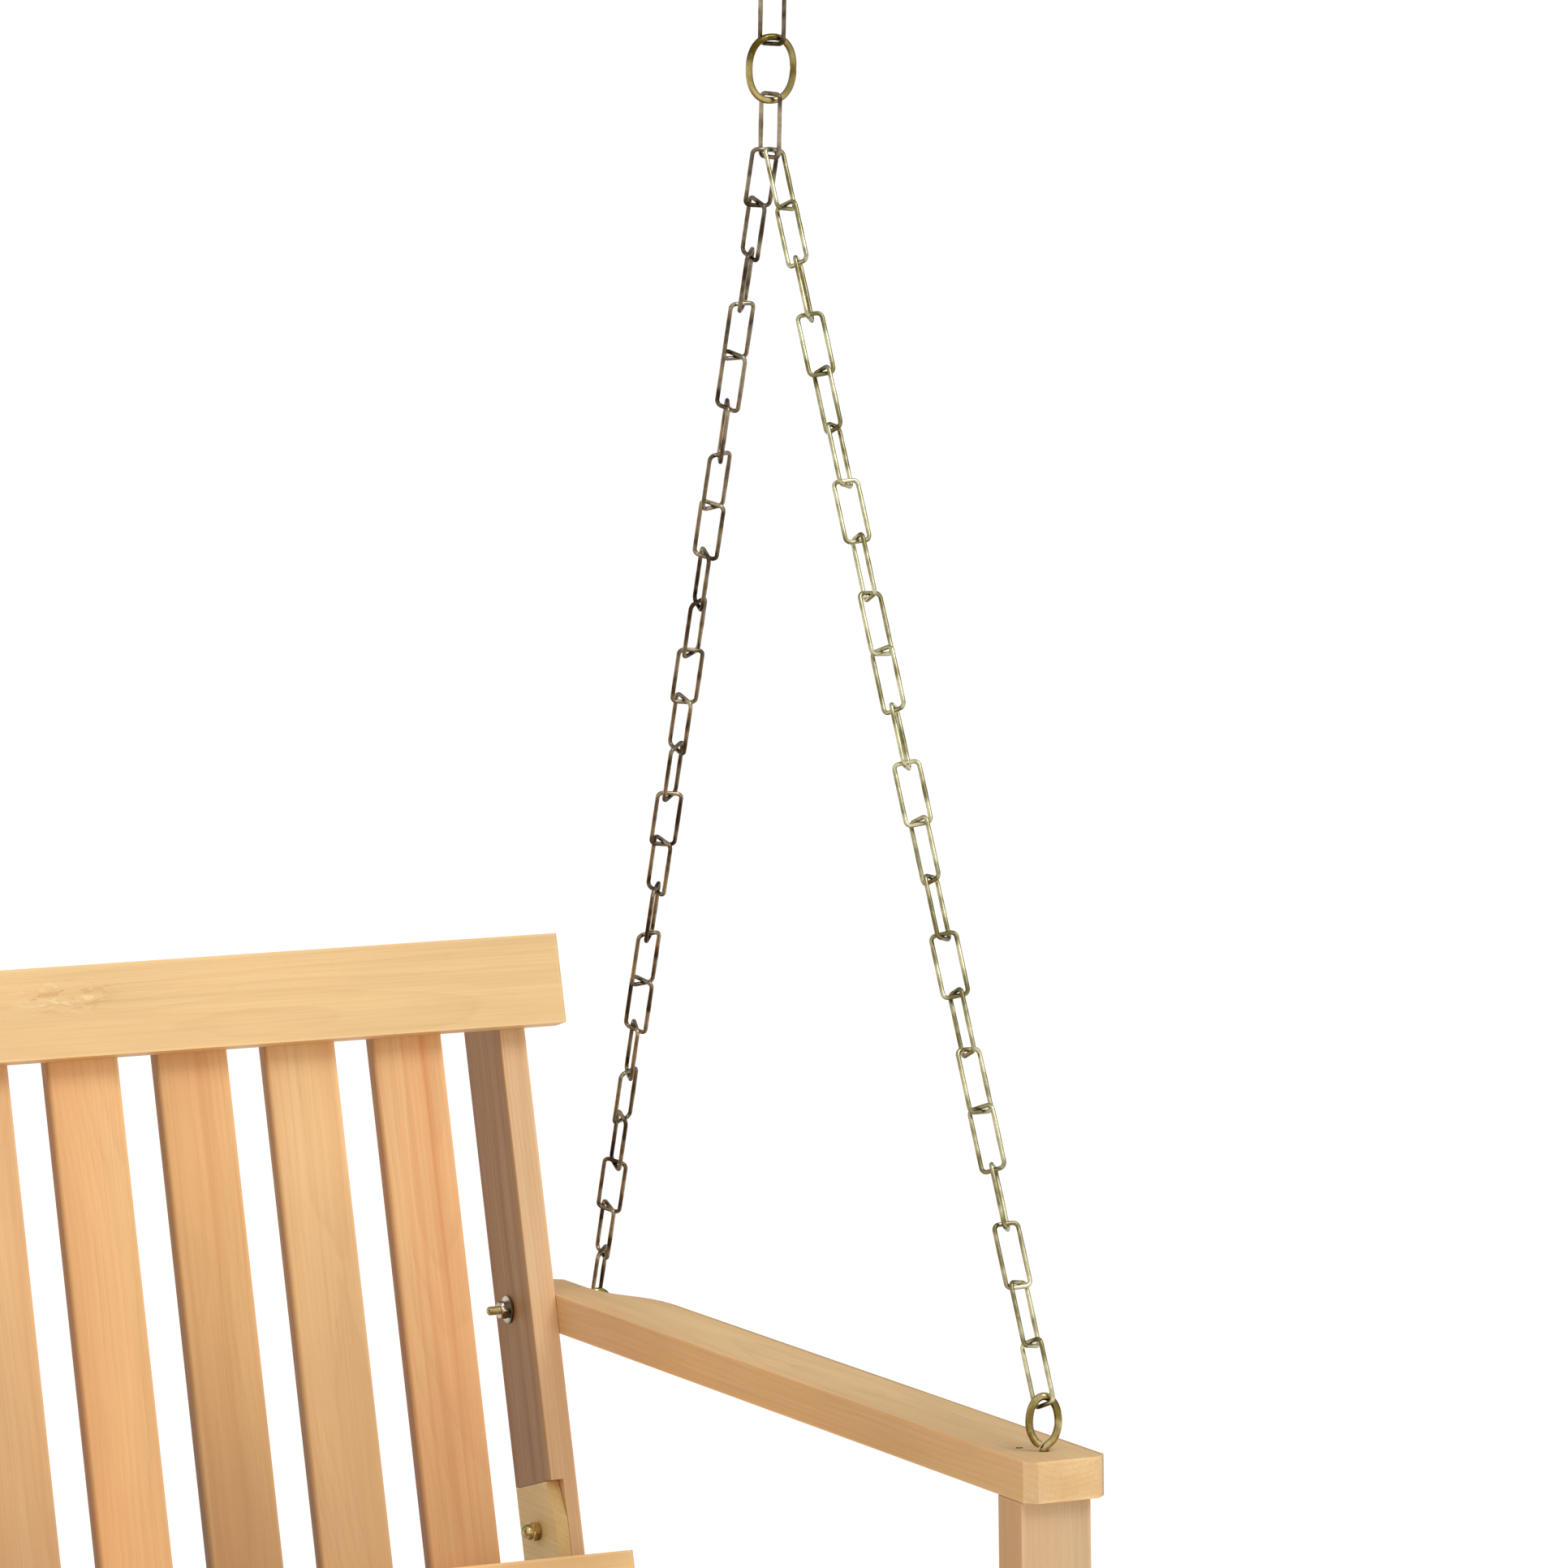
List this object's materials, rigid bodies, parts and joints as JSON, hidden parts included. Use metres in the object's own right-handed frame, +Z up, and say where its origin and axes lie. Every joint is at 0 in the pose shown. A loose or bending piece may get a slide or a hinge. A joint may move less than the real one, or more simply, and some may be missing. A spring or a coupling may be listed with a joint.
{
  "type": "porch swing",
  "caption": "Slatted wooden porch swing bench with a leaning back, armrests and a scooped seat, hung from ceiling plates on two chain V-slings with gathering rings.",
  "frame": {"origin": "at ceiling level, midway between the two ceiling plates, directly above the hanging bench's centre of mass", "axes": "+Z up, +X to the right as seen from in front, the sitter faces -Y"},
  "size_m": [1.2258, 0.8254, 1.306],
  "materials": {
    "rail_wood": "satin",
    "slat_wood": "satin",
    "frame_wood": "satin",
    "chain_plating": "satin",
    "hook_plating": "satin",
    "bolt_steel": "satin"
  },
  "bodies": {
    "hangers": {"ceiling_hanger_left": "hook_plating", "ceiling_hanger_right": "hook_plating"},
    "upper_chains": {"gather_ring_left": "chain_plating", "gather_ring_right": "chain_plating", "upper_chain_left": "chain_plating", "upper_chain_right": "chain_plating"},
    "bench": {"armrest_left": "frame_wood", "armrest_right": "frame_wood", "back_slat_01": "slat_wood", "back_slat_02": "slat_wood", "back_slat_03": "slat_wood", "back_slat_04": "slat_wood", "back_slat_05": "slat_wood", "back_slat_06": "slat_wood", "back_slat_07": "slat_wood", "back_slat_08": "slat_wood", "back_slat_09": "slat_wood", "back_slat_10": "slat_wood", "back_slat_11": "slat_wood", "back_slat_12": "slat_wood", "back_slat_13": "slat_wood", "back_slat_14": "slat_wood", "back_upright_left": "frame_wood", "back_upright_right": "frame_wood", "bottom_back_rail": "rail_wood", "front_chain_left": "chain_plating", "front_chain_right": "chain_plating", "front_eye_bolt_left": "hook_plating", "front_eye_bolt_right": "hook_plating", "front_post_left": "frame_wood", "front_post_right": "frame_wood", "front_stretcher": "frame_wood", "gather_link_left": "chain_plating", "gather_link_right": "chain_plating", "lap_bolt_left": "bolt_steel", "lap_bolt_right": "bolt_steel", "lap_nut_left": "hook_plating", "lap_nut_right": "hook_plating", "post_bolt_left": "bolt_steel", "post_bolt_right": "bolt_steel", "post_nut_left": "bolt_steel", "post_nut_right": "bolt_steel", "rear_chain_left": "chain_plating", "rear_chain_right": "chain_plating", "rear_eye_bolt_left": "hook_plating", "rear_eye_bolt_right": "hook_plating", "rear_eye_nut_left": "bolt_steel", "rear_eye_nut_right": "bolt_steel", "seat_bearer_left": "frame_wood", "seat_bearer_middle": "frame_wood", "seat_bearer_right": "frame_wood", "seat_slat_1": "slat_wood", "seat_slat_2": "slat_wood", "seat_slat_3": "slat_wood", "seat_slat_4": "slat_wood", "seat_slat_5": "slat_wood", "seat_slat_6": "slat_wood", "seat_slat_7": "slat_wood", "seat_slat_8": "slat_wood", "top_back_rail": "rail_wood"}
  },
  "joints": [
    {"name": "hanger_swing", "type": "hinge", "parent": "hangers", "child": "upper_chains", "pos_m": [0, 0, -0.03], "axis": [1, 0, 0], "range_deg": [-22, 22]},
    {"name": "ring_swing", "type": "hinge", "parent": "upper_chains", "child": "bench", "pos_m": [0, 0, -0.2024], "axis": [1, 0, 0], "range_deg": [-14, 14]}
  ]
}
